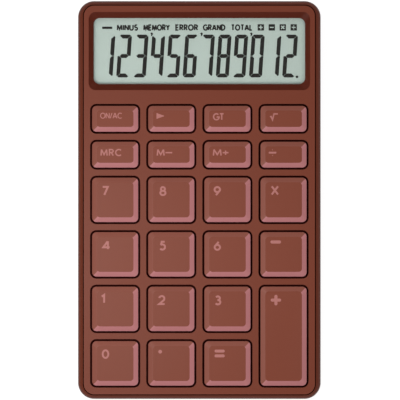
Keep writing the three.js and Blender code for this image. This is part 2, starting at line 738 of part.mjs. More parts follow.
function lead(side) {
  const x = side * (cellEnd - 0.9);
  const startZ = contactTop + LEAD_RADIUS + FACE_GAP;
  const boardUnder = (y) =>
    deckHeight + y * Math.sin(tilt) + boardBottom * Math.cos(tilt) - LEAD_RADIUS - FIT;
  const end = boardBack - 3;
  const route = [
    [x, cellY - 2, startZ],
    [x, cellY - 5, startZ + 0.1],
    [x, partitionFront + 0.5, startZ],
    [x - side * 1, partitionFront - 4, startZ - 0.2],
    [x - side * 3, partitionFront - 10, startZ - 1],
    [x - side * 6, end + 7, boardUnder(end + 7) - 1.2],
    [x - side * 7, end + 3, boardUnder(end) - 1],
    [x - side * 7, end - 1, boardUnder(end) - 0.1],
  ];
  const curve = new THREE.CatmullRomCurve3(route.map((p) => new THREE.Vector3(...p)));
  return wireAlong(curve, LEAD_RADIUS, 24);
}

// ---------------------------------------------------------------- assembly
place(base, "rear_shell", rearShell(), casePlastic);
place(base, "battery_door", batteryDoor(), casePlastic);
footPlaces.forEach(([x, y], i) => {
  const top = floorOuter + FOOT_SINK - FACE_GAP;
  place(base, footNames[i], post(FOOT_RADIUS, 0, top, x, y, 24), blackRubber);
});

place(deck, "front_shell", frontShell(), casePlastic);
for (const key of keys) {
  place(deck, key.name, keyCap(key), keyPlastic);
  deck.children.at(-1).position.set(key.x, key.y, 0);
}
place(deck, "key_membrane", keyMembrane(), siliconeRubber);
place(deck, "main_board", mainBoard(), boardLaminate);

place(
  deck,
  "display_window",
  centredBox(windowWidth, windowLength, displayCentre, windowBottom, windowTop - FACE_GAP),
  clearAcrylic,
);
place(deck, "display_gasket", gasket(), foam);
const frontGlassLength = glassLength - GLASS_LEDGE;
const frontGlassY = trayCentre + GLASS_LEDGE / 2;
const filmWidth = glassWidth - 1;
const filmLength = frontGlassLength - 0.4;
place(
  deck,
  "lcd_front_polarizer",
  centredBox(filmWidth, filmLength, frontGlassY, frontFilmTop - FILM_THICKNESS, frontFilmTop),
  film,
);
place(
  deck,
  "lcd_front_glass",
  centredBox(glassWidth, frontGlassLength, frontGlassY, frontGlassTop - GLASS_THICKNESS, frontGlassTop),
  glass,
);
place(
  deck,
  "lcd_rear_glass",
  centredBox(glassWidth, glassLength, trayCentre, rearGlassTop - GLASS_THICKNESS, rearGlassTop),
  glass,
);
place(
  deck,
  "lcd_reflector",
  centredBox(filmWidth, filmLength, frontGlassY, rearFilmTop - FILM_THICKNESS, rearFilmTop),
  film,
);
place(deck, "lcd_tray", displayTray(), blackPlastic);
place(deck, "lcd_ribbon", displayRibbon(), copperFilm);

const chipProfile = [
  [0, 0],
  [6, 0],
  [5.4, 0.8],
  [3.6, 1.4],
  [0, 1.7],
].map(([r, z]) => new THREE.Vector2(r, z));
const underBoard = boardBottom - FACE_GAP;
place(
  deck,
  "chip_on_board",
  new THREE.LatheGeometry(chipProfile, 20).rotateX(-Math.PI / 2).translate(0, columns[2], underBoard),
  blackResin,
);
place(
  deck,
  "buffer_capacitor",
  post(2.5, -4.5, 4.5, 0, 0, 20)
    .rotateY(Math.PI / 2)
    .translate(columns[1], lowRows[0], underBoard - 2.5 - FIT),
  blackInsulation,
);
place(deck, "ceramic_capacitor", box(9, 12.2, 20, 21.6, underBoard - 1.2, underBoard), film);
place(deck, "timing_resistor", box(-12, -8.8, 4, 5.6, underBoard - 0.7, underBoard), blackResin);

const caseSeat = boardBottom - FIT - SCREW_SEAT - FACE_GAP;
const caseShank = deckUnderside - 0.6 - 0.4 - caseSeat;
caseScrews.forEach(([x, y], i) => {
  place(deck, `case_screw_${i + 1}`, screw(caseShank), nickel);
  deck.children.at(-1).position.set(x, y, caseSeat);
});
const boardSeat = boardBottom - FACE_GAP;
boardScrews.forEach(([x, y], i) => {
  place(deck, `board_screw_${i + 1}`, screw(SCREW_BITE + BOARD_THICKNESS), nickel);
  deck.children.at(-1).position.set(x, y, boardSeat);
});

const cellStart = -cellEnd + CONTACT_THICKNESS + CELL_SPRING_ROOM;
place(base, "battery_cell", batteryCell().translate(cellStart, cellY, cellZ), cellJacket);
place(base, "positive_contact", contactPlate(1), nickel);
place(base, "negative_contact", contactPlate(-1), nickel);
const springStart = -cellEnd + CONTACT_THICKNESS + 0.6;
const spring = new ConicalCoil(3.4, 2.2, CELL_SPRING_ROOM - 1.2, 4);
place(
  base,
  "contact_spring",
  wireAlong(spring, 0.35, 44, 6).translate(springStart, cellY, cellZ),
  nickel,
);
place(base, "red_lead", lead(1), redInsulation);
place(base, "black_lead", lead(-1), blackInsulation);

// The origin is the centre of the footprint, on the table.
const bounds = new THREE.Box3().setFromObject(part);
base.position.y = -(bounds.min.y + bounds.max.y) / 2;

export default part;
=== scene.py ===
import math

import bmesh
import bpy
from mathutils import Matrix, Vector


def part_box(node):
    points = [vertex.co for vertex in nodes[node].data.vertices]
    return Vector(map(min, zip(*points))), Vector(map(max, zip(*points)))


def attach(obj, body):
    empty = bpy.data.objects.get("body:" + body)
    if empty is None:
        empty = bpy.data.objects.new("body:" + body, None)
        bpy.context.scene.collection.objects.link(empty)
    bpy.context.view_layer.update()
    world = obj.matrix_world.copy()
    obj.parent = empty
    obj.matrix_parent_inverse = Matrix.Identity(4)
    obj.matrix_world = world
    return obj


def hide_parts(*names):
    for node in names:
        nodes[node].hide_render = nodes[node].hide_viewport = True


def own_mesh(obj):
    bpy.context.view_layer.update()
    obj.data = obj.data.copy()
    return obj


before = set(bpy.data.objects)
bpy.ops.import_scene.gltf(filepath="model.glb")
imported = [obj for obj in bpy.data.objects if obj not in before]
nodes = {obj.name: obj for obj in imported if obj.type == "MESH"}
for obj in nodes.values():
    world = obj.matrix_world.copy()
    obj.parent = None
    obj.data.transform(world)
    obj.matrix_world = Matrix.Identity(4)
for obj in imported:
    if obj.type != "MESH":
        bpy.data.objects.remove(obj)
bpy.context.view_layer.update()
mm = 0.001

# ---------------------------------------------------------------- front shell
# The sloping deck: one injection moulding in reddish brown plastic with a spark-eroded satin
# grain, open where the keys and the display come through. It drops into the rear shell, and a
# fine seam shows all round it. Everything on the deck is modelled level and then tilted with it.

deck_tilt = math.radians(4)
deck_turn = Matrix.Rotation(deck_tilt, 4, "X")
shell_level = [deck_turn.inverted() @ v.co for v in nodes["front_shell"].data.vertices]
deck_top = max(p.z for p in shell_level)
deck_middle = (min(p.y for p in shell_level) + max(p.y for p in shell_level)) / 2
deck_place = deck_turn @ Matrix.Translation((0, deck_middle, deck_top))


def level_box(node):
    """Lowest and highest corner of a CAD node on the level deck, whose middle is the origin."""
    points = [deck_place.inverted() @ v.co for v in nodes[node].data.vertices]
    low = Vector(min(p[i] for p in points) for i in range(3))
    high = Vector(max(p[i] for p in points) for i in range(3))
    return low, high


class Reading:
    """A shader socket that can be added to, multiplied and so on."""

    def __init__(self, finish, socket):
        self.finish, self.socket = finish, socket

    def maths(self, operation, a, b):
        return self.finish.node("Math", {"operation": operation}, {0: a, 1: b})

    def __add__(self, other):
        return self.maths("ADD", self, other)

    def __radd__(self, other):
        return self.maths("ADD", other, self)

    def __sub__(self, other):
        return self.maths("SUBTRACT", self, other)

    def __mul__(self, other):
        return self.maths("MULTIPLY", self, other)


class Finish:
    """A material, with one method that adds a node of any kind."""

    def __init__(self, name):
        self.material = bpy.data.materials.new(name)
        self.material.use_nodes = True
        self.tree = self.material.node_tree
        self.shader = self.tree.nodes["Principled BSDF"]

    def node(self, kind, settings, sockets, output=0):
        made = self.tree.nodes.new("ShaderNode" + kind)
        stops = settings.pop("stops", None)
        for name, value in settings.items():
            setattr(made, name, value)
        if stops:
            ramp = made.color_ramp
            while len(ramp.elements) < len(stops):
                ramp.elements.new(0.5)
            for element, (position, colour) in zip(ramp.elements, stops):
                element.position = position
                element.color = (*colour, 1)
        for name, value in sockets.items():
            self.join(value, made.inputs[name])
        return Reading(self, made.outputs[output])

    def join(self, value, socket):
        if isinstance(value, Reading):
            self.tree.links.new(value.socket, socket)
        else:
            socket.default_value = value

    def noise(self, scale, detail=2.0):
        place = self.node("TexCoord", {}, {}, "Object")
        return self.node("TexNoise", {}, {"Vector": place, "Scale": scale, "Detail": detail})

    def between(self, factor, first, second):
        colours = {0: factor, 6: (*first, 1), 7: (*second, 1)}
        return self.node("Mix", {"data_type": "RGBA"}, colours, 2)

    def bump(self, height, depth, strength=1.0):
        sockets = {"Height": height, "Distance": depth, "Strength": strength}
        return self.node("Bump", {}, sockets)

    def surface(self, **sockets):
        for name, value in sockets.items():
            self.join(value, self.shader.inputs[name.replace("_", " ")])
        return self.material


def shade(colour, share):
    return tuple(part * share for part in colour)


def satin_plastic(name, colour, roughness=0.5, shine=0.22):
    """Moulded plastic: an even grain a fifth of a millimetre wide and faint flow marks."""
    finish = Finish(name)
    flow = finish.noise(26, 3)
    grain = finish.noise(5200, 2)
    speck = finish.noise(1500, 2)
    tone = finish.between(flow * 0.7 + speck * 0.3, shade(colour, 0.93), shade(colour, 1.07))
    return finish.surface(
        Base_Color=tone,
        Roughness=roughness - 0.06 + flow * 0.06 + grain * 0.08,
        Normal=finish.bump(grain, 0.012 * mm, 0.5),
        Specular_IOR_Level=shine,
    )


casing_brown = (0.130, 0.0205, 0.0045)
casing_plastic = satin_plastic("casing_plastic", casing_brown, 0.5)


def only(piece):
    """Selects one object and nothing else."""
    bpy.ops.object.select_all(action="DESELECT")
    piece.select_set(True)
    bpy.context.view_layer.objects.active = piece


def pick(piece, kind, test):
    """In edit mode, selects the faces or edges that pass the test."""
    mesh = bmesh.from_edit_mesh(piece.data)
    for part in mesh.faces[:] + mesh.edges[:] + mesh.verts[:]:
        part.select_set(False)
    bpy.ops.mesh.select_mode(type="FACE" if kind == "faces" else "EDGE")
    for part in getattr(mesh, kind):
        if test(part):
            part.select_set(True)
    bmesh.update_edit_mesh(piece.data)


def is_upright(edge):
    one, other = (v.co for v in edge.verts)
    return (one - other).xy.length < 1e-7


def rounded_block(name, low, high, corner, segments=8):
    """A block between two corners with its four upright edges rounded."""
    bpy.ops.object.select_all(action="DESELECT")
    bpy.ops.mesh.primitive_cube_add(size=1)
    block = bpy.context.object
    block.name = block.data.name = name
    low, high = Vector(low), Vector(high)
    bpy.ops.object.mode_set(mode="EDIT")
    bpy.ops.transform.resize(value=high - low)
    bpy.ops.transform.translate(value=(low + high) / 2)
    pick(block, "edges", is_upright)
    bpy.ops.mesh.bevel(offset=corner, offset_type="OFFSET", segments=segments, affect="EDGES")
    bpy.ops.object.mode_set(mode="OBJECT")
    return block


def rod(name, radius, bottom, top, x=0.0, y=0.0, sides=32):
    bpy.ops.object.select_all(action="DESELECT")
    bpy.ops.mesh.primitive_cylinder_add(
        vertices=sides, radius=radius, depth=top - bottom, location=(x, y, (bottom + top) / 2)
    )
    bpy.ops.object.transform_apply(location=True)
    piece = bpy.context.object
    piece.name = piece.data.name = name
    return piece


def wear(piece, *materials):
    """Gives a piece these materials and no others."""
    piece.data.materials.clear()
    for material in materials:
        piece.data.materials.append(material)


def join(pieces):
    """Makes one object of several. It keeps the name of the first."""
    only(pieces[0])
    for piece in pieces:
        piece.select_set(True)
    bpy.ops.object.join()
    return pieces[0]


def middle_of(node):
    """Middle of a CAD node on the level deck."""
    low, high = level_box(node)
    return (low + high) / 2


def apply_modifier(piece, kind, **settings):
    only(piece)
    modifier = piece.modifiers.new(kind.title(), kind)
    for name, value in settings.items():
        setattr(modifier, name, value)
    bpy.ops.object.modifier_apply(modifier=modifier.name)


def combine(piece, other, operation):
    """Cuts another solid out of a piece, or joins it on, and uses it up."""
    apply_modifier(piece, "BOOLEAN", operation=operation, solver="EXACT", object=other)
    bpy.data.objects.remove(other)


def soften(piece, width, segments=2, angle=30, join_flats=True):
    """Takes the sharpness off the edges and sets smooth shading between small angles."""
    only(piece)
    bpy.ops.object.mode_set(mode="EDIT")
    bpy.ops.mesh.select_all(action="SELECT")
    bpy.ops.mesh.remove_doubles(threshold=0.002 * mm)
    if join_flats:
        bpy.ops.mesh.dissolve_limited(angle_limit=math.radians(0.5))
    bpy.ops.object.mode_set(mode="OBJECT")
    apply_modifier(
        piece,
        "BEVEL",
        width=width,
        segments=segments,
        limit_method="ANGLE",
        angle_limit=math.radians(angle),
        use_clamp_overlap=True,
        miter_outer="MITER_ARC",
    )
    bpy.ops.object.shade_smooth_by_angle(angle=math.radians(angle))
    apply_modifier(piece, "WEIGHTED_NORMAL", keep_sharp=True, weight=100)


def fit(piece, body, slot, *replaced, on_deck=True):
    """Puts a finished piece in its place on its body, instead of its CAD nodes."""
    if on_deck:
        piece.data.transform(deck_place)
    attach(piece, body)
    if replaced:
        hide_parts(*replaced)


key_names = [name for name in nodes if name.startswith("key_") and name != "key_membrane"]
screw_names = [f"case_screw_{number}" for number in range(1, 7)]
screw_names += [f"board_screw_{number}" for number in range(1, 5)]
well_below, well_above = -0.05, 0.01  # how far a cutter reaches past the deck
sink = 0.1 * mm  # how far a piece that is joined on reaches into the deck
deck_thickness = 1.8 * mm
deck_corner = 4.5 * mm
skirt_depth = 6 * mm
skirt_wall = 1.3 * mm
flange_overlap = 0.5 * mm
key_gap = 0.85 * mm
hole_corner = 2.7 * mm

shell_low, shell_high = level_box("front_shell")
front_shell = rounded_block(
    "deck_shell", (*shell_low.xy, -skirt_depth), (*shell_high.xy, 0), deck_corner, 12
)
inner_low = (shell_low.x + skirt_wall, shell_low.y + skirt_wall, well_below)
inner_high = (shell_high.x - skirt_wall, shell_high.y - skirt_wall, -deck_thickness)
room = rounded_block("room", inner_low, inner_high, deck_corner - skirt_wall)
combine(front_shell, room, "DIFFERENCE")

# The window is held in a thicker surround, in a pocket with a little play.
window_low, window_high = level_box("display_window")
surround_reach = Vector((0.9 * mm, 1 * mm, 0))
surround_low = (*(window_low - surround_reach).xy, window_low.z)
surround_high = (*(window_high + surround_reach).xy, -deck_thickness + sink)
combine(front_shell, rounded_block("surround", surround_low, surround_high, 1 * mm), "UNION")
play = Vector((0.2 * mm, 0.2 * mm, 0.05 * mm))
pocket_low = (*(window_low - play).xy, well_below)
pocket = rounded_block("pocket", pocket_low, window_high + play, 0.4 * mm)
combine(front_shell, pocket, "DIFFERENCE")

overlap = Vector((flange_overlap, flange_overlap, 0))
for name in key_names:
    low, high = level_box(name)
    hole_low = (*(low + overlap).xy, well_below)
    hole_high = (*(high - overlap).xy, well_above)
    hole = rounded_block("hole", hole_low, hole_high, hole_corner, 8)
    combine(front_shell, hole, "DIFFERENCE")

# The display opening widens upwards in a bevel, above a short upright lip.
window_border = 1.9 * mm
opening_low = window_low + Vector((window_border, window_border, 0))
opening_high = window_high - Vector((window_border, window_border, 0))
bevel_depth = 2 * mm
bevel_side = 2.15 * mm
bevel_end = 2.6 * mm
opening_middle = (opening_low + opening_high) / 2
opening_corner = 2.7 * mm
opening_size = (opening_high - opening_low).xy
opening = rounded_block(
    "opening",
    (*opening_low.xy, well_below),
    (*opening_high.xy, -bevel_depth),
    opening_corner,
    8,
)
only(opening)
bpy.ops.object.mode_set(mode="EDIT")
pick(opening, "faces", lambda face: face.normal.z > 0.9)
for _ in range(2):  # up to the deck, and as far again above it
    wider = opening_size + 2 * Vector((bevel_side, bevel_end))
    growth = (wider.x / opening_size.x, wider.y / opening_size.y, 1)
    bpy.ops.mesh.extrude_region_move(TRANSFORM_OT_translate={"value": (0, 0, bevel_depth)})
    bpy.ops.transform.resize(value=growth, center_override=(*opening_middle.xy, 0))
    opening_size = wider
bpy.ops.object.mode_set(mode="OBJECT")
combine(front_shell, opening, "DIFFERENCE")

boss_radius = 1.9 * mm
boss_bottom = -6.65 * mm
for name in screw_names:
    boss_place = middle_of(name).xy
    boss = rod("boss", boss_radius, boss_bottom, -deck_thickness + sink, *boss_place, 24)
    combine(front_shell, boss, "UNION")

# The bevel round the display and its lip are painted darker than the deck, as painted shade for
# the recess.
bezel_shade_brown = (0.072, 0.0085, 0.0015)
bezel_plastic = satin_plastic("bezel_plastic", bezel_shade_brown, 0.5)
wear(front_shell, casing_plastic, bezel_plastic)
lip_bottom, lip_top = -2.5 * mm, -1.9 * mm
bezel_front = opening_low.y - 3 * mm
bezel_side = 48 * mm
# Painted shade: the sloping faces and the lip round the display get the darker colour.
for face in front_shell.data.polygons:
    is_sloping = 0.3 < face.normal.z < 0.95
    is_lip = abs(face.normal.z) < 0.1 and lip_bottom < face.center.z < lip_top
    is_display = bezel_front < face.center.y and abs(face.center.x) < bezel_side
    face.material_index = int((is_sloping or is_lip) and is_display)
soften(front_shell, 0.16 * mm, 2, 30)
fit(front_shell, "casing", "case_plastic", "front_shell")

# ---------------------------------------------------------------- rear shell
# The tub under the deck: a brown plastic like the deck's, painted darker as painted shade for its
# rounded shoulder, which shows as a darker rim round the deck; a flat floor with screw wells, and
# four shallow sockets for the feet.


def copy_of(node, name):
    """A copy of a CAD node, free to be given softened edges and a material of its own."""
    piece = nodes[node].copy()
    piece.data = nodes[node].data.copy()
    piece.name = piece.data.name = name
    piece.data.materials.clear()
    bpy.context.collection.objects.link(piece)
    return piece


# Painted shade: darker than casing_brown, so that the sloping rim reads darker.
tub_shaded_brown = (0.100, 0.0150, 0.0030)
tub_plastic = satin_plastic("tub_plastic", tub_shaded_brown, 0.55)
rear_shell = copy_of("rear_shell", "casing_tub")
soften(rear_shell, 0.2 * mm, 2, 28)
wear(rear_shell, tub_plastic)
fit(rear_shell, "casing", "case_plastic", "rear_shell", on_deck=False)

# ---------------------------------------------------------------- keys
# Hollow caps in a slightly lighter brown. The part below the cap is painted near-black as
# painted shade for the gaps round the keys. The chamfers that face right and towards the user
# carry a pink painted highlight, the other two a dusky painted sheen, and they meet in a mitre.
# A flange under the deck keeps each key in, and a plunger under its middle rests over a rubber
# dome.

key_brown = (0.152, 0.0290, 0.0110)
# Painted sheen: the chamfers that face up and left are lighter than the face.
key_sheen_tone = (0.192, 0.057, 0.038)
# Painted highlight: the chamfers that face right and towards the user are pink.
key_highlight_tone = (0.362, 0.137, 0.140)
legend_pink = (0.330, 0.120, 0.105)
# Painted shade: the base under each cap is near-black, so the gaps round the keys read dark.
key_gap_shade = (0.022, 0.0012, 0.0006)
key_plastic = satin_plastic("key_plastic", key_brown, 0.48)
dusk_plastic = satin_plastic("dusk_plastic", key_sheen_tone, 0.48)
pink_plastic = satin_plastic("pink_plastic", key_highlight_tone, 0.48)
legend_plastic = satin_plastic("legend_plastic", legend_pink, 0.5)
base_plastic = satin_plastic("base_plastic", key_gap_shade, 0.7, 0.04)

key_rise = 1.3 * mm
chamfer_depth = 1.0 * mm
chamfer_width = 2.05 * mm
key_corner = 1.9 * mm
cap_bottom = -0.3 * mm
flange_top = -2.1 * mm
flange_bottom = -3.0 * mm
key_wall = 1.3 * mm
ceiling = -0.3 * mm
plunger_tip = -3.2 * mm
plunger_width = 5.0 * mm


def extrude(height, size=None, target=None):
    """Extrudes what is selected by a height, then scales it from one size to another."""
    bpy.ops.mesh.extrude_region_move(TRANSFORM_OT_translate={"value": (0, 0, height)})
    if target:
        value = (target[0] / size[0], target[1] / size[1], 1)
        bpy.ops.transform.resize(value=value, center_override=(0, 0, 0))


def key_cap(name, width, length):
    """A key cap centred on the origin, extruded up to its face and down round its hollow."""

    def grown(reach):
        return (width + 2 * reach, length + 2 * reach)

    cap = rounded_block(
        name,
        (-width / 2, -length / 2, cap_bottom),
        (width / 2, length / 2, key_rise - chamfer_depth),
        key_corner,
    )
    side = grown(0)
    face = grown(-chamfer_width)
    flange = grown(key_gap + flange_overlap)
    hollow = grown(-key_wall)
    is_tall = length > 1.5 * width
    plunger = (plunger_width, plunger_width + (length - width if is_tall else 0))
    only(cap)
    bpy.ops.object.mode_set(mode="EDIT")
    pick(cap, "faces", lambda face: face.normal.z > 0.9)
    extrude(chamfer_depth, side, face)
    pick(cap, "faces", lambda face: face.normal.z < -0.9)
    extrude(flange_top - cap_bottom)
    extrude(0, side, flange)
    extrude(flange_bottom - flange_top)
    extrude(0, flange, hollow)
    extrude(ceiling - flange_bottom)
    extrude(0, hollow, plunger)
    extrude(plunger_tip - ceiling)
    bpy.ops.mesh.select_all(action="SELECT")
    bpy.ops.mesh.normals_make_consistent(inside=False)
    bpy.ops.object.mode_set(mode="OBJECT")
    wear(cap, key_plastic, dusk_plastic, pink_plastic, base_plastic)
    plain, dusk, pink, base = range(4)
    for polygon in cap.data.polygons:
        polygon.material_index = plain
        # Painted shade below the cap; painted highlight and painted sheen on the chamfers, by the
        # way they face.
        if polygon.center.z < cap_bottom - 0.1 * mm:
            polygon.material_index = base
        elif 0.5 < polygon.normal.z < 0.99:
            faces_highlight_side = polygon.normal.x > polygon.normal.y
            polygon.material_index = pink if faces_highlight_side else dusk
    soften(cap, 0.14 * mm, 2, 20)
    return cap


# ---------------------------------------------------------------- key legends
# The legends are moulded through in a duller pink and stand a hair above the face.
# Their letters are even strokes with round bowls, drawn from straight runs and arcs.


def arc(x, y, across, up, start, end, steps=14):
    """Points on an ellipse, with its angles in degrees."""
    angles = [math.radians(start + (end - start) * i / steps) for i in range(steps + 1)]
    return [(x + across * math.cos(a), y + up * math.sin(a)) for a in angles]


def bowl(x, y, across, up):
    """A closed ellipse."""
    return arc(x, y, across, up, 0, 360, 24)


# Each character is 1 tall between the middles of its strokes: its width, then its strokes.
characters = {
    "0": (0.74, [bowl(0.37, 0.5, 0.37, 0.5)]),
    "1": (0.3, [[(0, 0.78), (0.3, 1.0), (0.3, 0)]]),
    "2": (0.68, [arc(0.34, 0.69, 0.32, 0.31, 170, -38) + [(0.02, 0), (0.7, 0)]]),
    "3": (0.64, [arc(0.3, 0.77, 0.25, 0.23, 150, -100), arc(0.3, 0.27, 0.31, 0.27, 100, -150)]),
    "4": (0.8, [[(0.8, 0.24), (0, 0.24), (0.56, 1.0)], [(0.58, 1.0), (0.58, 0)]]),
    "5": (0.64, [[(0.58, 1.0), (0.2, 1.0), (0.11, 0.57)], arc(0.28, 0.33, 0.34, 0.33, 124, -140)]),
    "6": (0.68, [bowl(0.34, 0.31, 0.34, 0.31), [(0.5, 1.0), (0.06, 0.46)]]),
    "7": (0.64, [[(0, 1.0), (0.64, 1.0), (0.2, 0)]]),
    "8": (0.64, [bowl(0.32, 0.76, 0.25, 0.24), bowl(0.32, 0.27, 0.32, 0.27)]),
    "9": (0.68, [bowl(0.34, 0.69, 0.34, 0.31), [(0.18, 0), (0.62, 0.54)]]),
    "X": (0.76, [[(0, 1.0), (0.76, 0)], [(0.76, 1.0), (0, 0)]]),
    "A": (0.86, [[(0, 0), (0.4, 1.0)], [(0.46, 1.0), (0.86, 0)], [(0.16, 0.3), (0.7, 0.3)]]),
    "C": (0.84, [arc(0.5, 0.5, 0.5, 0.5, 48, 312, 20)]),
    "D": (0.74, [[(0, 0), (0, 1.0)] + arc(0.2, 0.5, 0.54, 0.5, 90, -90) + [(0, 0)]]),
    "E": (0.56, [[(0.56, 1.0), (0, 1.0), (0, 0), (0.56, 0)], [(0, 0.52), (0.5, 0.52)]]),
    "G": (0.92, [arc(0.5, 0.5, 0.5, 0.5, 46, 345, 20) + [(0.97, 0.46), (0.55, 0.46)]]),
    "I": (0.0, [[(0, 0), (0, 1.0)]]),
    "L": (0.5, [[(0, 1.0), (0, 0), (0.5, 0)]]),
    "M": (
        0.94,
        [
            [(0, 0), (0.07, 1.0)],
            [(0.07, 1.0), (0.47, 0.16), (0.87, 1.0)],
            [(0.87, 1.0), (0.94, 0)],
        ],
    ),
    "N": (0.72, [[(0, 0), (0, 1.0)], [(0, 1.0), (0.72, 0)], [(0.72, 0), (0.72, 1.0)]]),
    "O": (1.0, [bowl(0.5, 0.5, 0.5, 0.5)]),
    "R": (
        0.6,
        [
            [(0, 0), (0, 1.0)] + arc(0.3, 0.75, 0.28, 0.25, 90, -90) + [(0, 0.5)],
            [(0.28, 0.5), (0.6, 0)],
        ],
    ),
    "S": (0.6, [arc(0.3, 0.75, 0.27, 0.25, 45, 250) + arc(0.3, 0.26, 0.29, 0.26, 70, -145)]),
    "T": (0.66, [[(0, 1.0), (0.66, 1.0)], [(0.33, 1.0), (0.33, 0)]]),
    "U": (0.68, [[(0, 1.0)] + arc(0.34, 0.34, 0.34, 0.34, 180, 360) + [(0.68, 1.0)]]),
    "Y": (0.74, [[(0, 1.0), (0.37, 0.46), (0.74, 1.0)], [(0.37, 0.46), (0.37, 0)]]),
    "/": (0.36, [[(0, 0), (0.36, 1.0)]]),
    "-": (0.95, [[(0, 0.48), (0.95, 0.48)]]),
    "+": (0.72, [[(0, 0.48), (0.72, 0.48)], [(0.36, 0.12), (0.36, 0.84)]]),
    "r": (1.3, [[(0, 0.5), (0.16, 0.56), (0.4, 0.02), (0.66, 1.0), (1.3, 1.0)]]),
}


def band(points, width):
    """Left and right edges of a stroke, mitred where it turns. The ends are square."""
    closed = (Vector(points[0]) - Vector(points[-1])).length < 1e-9
    line = [Vector(p) for p in points]
    if closed:
        line.pop()
    count = len(line)
    left, right = [], []
    for i, here in enumerate(line):
        before = line[(i - 1) % count] if closed or i else None
        after = line[(i + 1) % count] if closed or i + 1 < count else None
        come = (here - before).normalized() if before else (after - here).normalized()
        go = (after - here).normalized() if after else come
        along = (come + go).normalized()
        across = Vector((-along.y, along.x))
        reach = width / 2 / max(across.dot(Vector((-come.y, come.x))), 0.35)
        left.append(here + across * reach)
        right.append(here - across * reach)
    return left, right, closed


def raised(name, points, faces, height):
    """Closed solids of that height on flat outlines that face up."""
    mesh = bpy.data.meshes.new(name)
    mesh.from_pydata(points, [], faces)
    piece = bpy.data.objects.new(name, mesh)
    bpy.context.collection.objects.link(piece)
    only(piece)
    bpy.ops.object.mode_set(mode="EDIT")
    bpy.ops.mesh.select_all(action="SELECT")
    extrude(height)
    bpy.ops.mesh.select_all(action="SELECT")
    bpy.ops.mesh.normals_make_consistent(inside=False)
    bpy.ops.object.mode_set(mode="OBJECT")
    return piece


def lettering(name, text, left, bottom, height, stroke, bottom_z, top_z, width=None, gap=0.3):
    """Raised strokes that spell a text. With a width, the letters are narrowed to fill it."""
    advance, runs = 0.0, []
    for character in text:
        run, strokes = characters[character]
        runs += [[(advance + x, y) for x, y in points] for points in strokes]
        advance += run + gap
    scale = height - stroke
    natural = (advance - gap) * scale
    squeeze = (width - stroke) / natural if width else 1.0
    points, faces = [], []
    for run in runs:
        placed = [
            (left + stroke / 2 + x * scale * squeeze, bottom + stroke / 2 + y * scale)
            for x, y in run
        ]
        one, other, closed = band(placed, stroke)
        start, count = len(points), len(one)
        points += [(*p, bottom_z) for p in one] + [(*p, bottom_z) for p in other]
        for i in range(count if closed else count - 1):
            j = (i + 1) % count
            faces.append((start + i, start + j, start + count + j, start + count + i))
    piece = raised(name, points, faces, top_z - bottom_z)
    bpy.ops.object.mode_set(mode="EDIT")
    bpy.ops.mesh.select_all(action="SELECT")
    bpy.ops.mesh.intersect_boolean(operation="UNION", use_self=True, solver="EXACT")
    bpy.ops.object.mode_set(mode="OBJECT")
    return piece


# Each legend: its text, or the bars and dots that make a sign, then how far its upper left
# corner is from that of the key, its height, and the width that a longer text fills, all in
# millimetres.
legends = {
    "key_on_clear": ("ON/AC", 3.5, 2.95, 2.65, 9.5),
    "key_back_step": ("arrow", 3.6, 3.1, 2.6),
    "key_grand_total": ("GT", 3.7, 3.15, 3.2, 4.93),
    "key_square_root": ("r", 3.85, 3.2, 3.2),
    "key_memory_recall": ("MRC", 3.6, 3.1, 3.2, 9.26),
    "key_memory_minus": ("M-", 3.65, 3.1, 3.2, 7.05),
    "key_memory_plus": ("M+", 3.65, 3.1, 3.2, 7.1),
    "key_divide": ("divide", 3.55, 3.35, 2.8),
    "key_7": ("7", 4.2, 3.6, 4.3),
    "key_8": ("8", 4.85, 3.7, 4.3),
    "key_9": ("9", 4, 3.7, 4.3),
    "key_multiply": ("X", 4.45, 3.35, 4.4),
    "key_4": ("4", 4.45, 3.55, 4.25),
    "key_5": ("5", 4.75, 3.75, 4.25),
    "key_6": ("6", 4.05, 3.8, 4.25),
    "key_minus": ("minus", 4.3, 3.6, 1.35),
    "key_1": ("1", 3.8, 3.15, 4.25),
    "key_2": ("2", 4.3, 3.65, 4.3),
    "key_3": ("3", 4.4, 3.8, 4.3),
    "key_plus": ("plus", 4.4, 3.55, 4.55),
    "key_0": ("0", 4.2, 3.55, 4.1),
    "key_point": ("point", 4.4, 3.75, 1.6),
    "key_equals": ("equals", 4.4, 3.65, 3.35),
}
legend_foot = key_rise - 0.1 * mm
legend_top = key_rise + 0.03 * mm
# By the number of letters: the width of a stroke as a share of the height, and the gap.
letter_weights = {1: (0.195, 0.24), 2: (0.19, 0.2), 3: (0.18, 0.36)}


def bar(x, y, width, height, corner):
    """A bar of a sign, from its lower left corner."""
    return rounded_block(
        "bar", (x, y, legend_foot), (x + width, y + height, legend_top), corner * 0.98, 5
    )


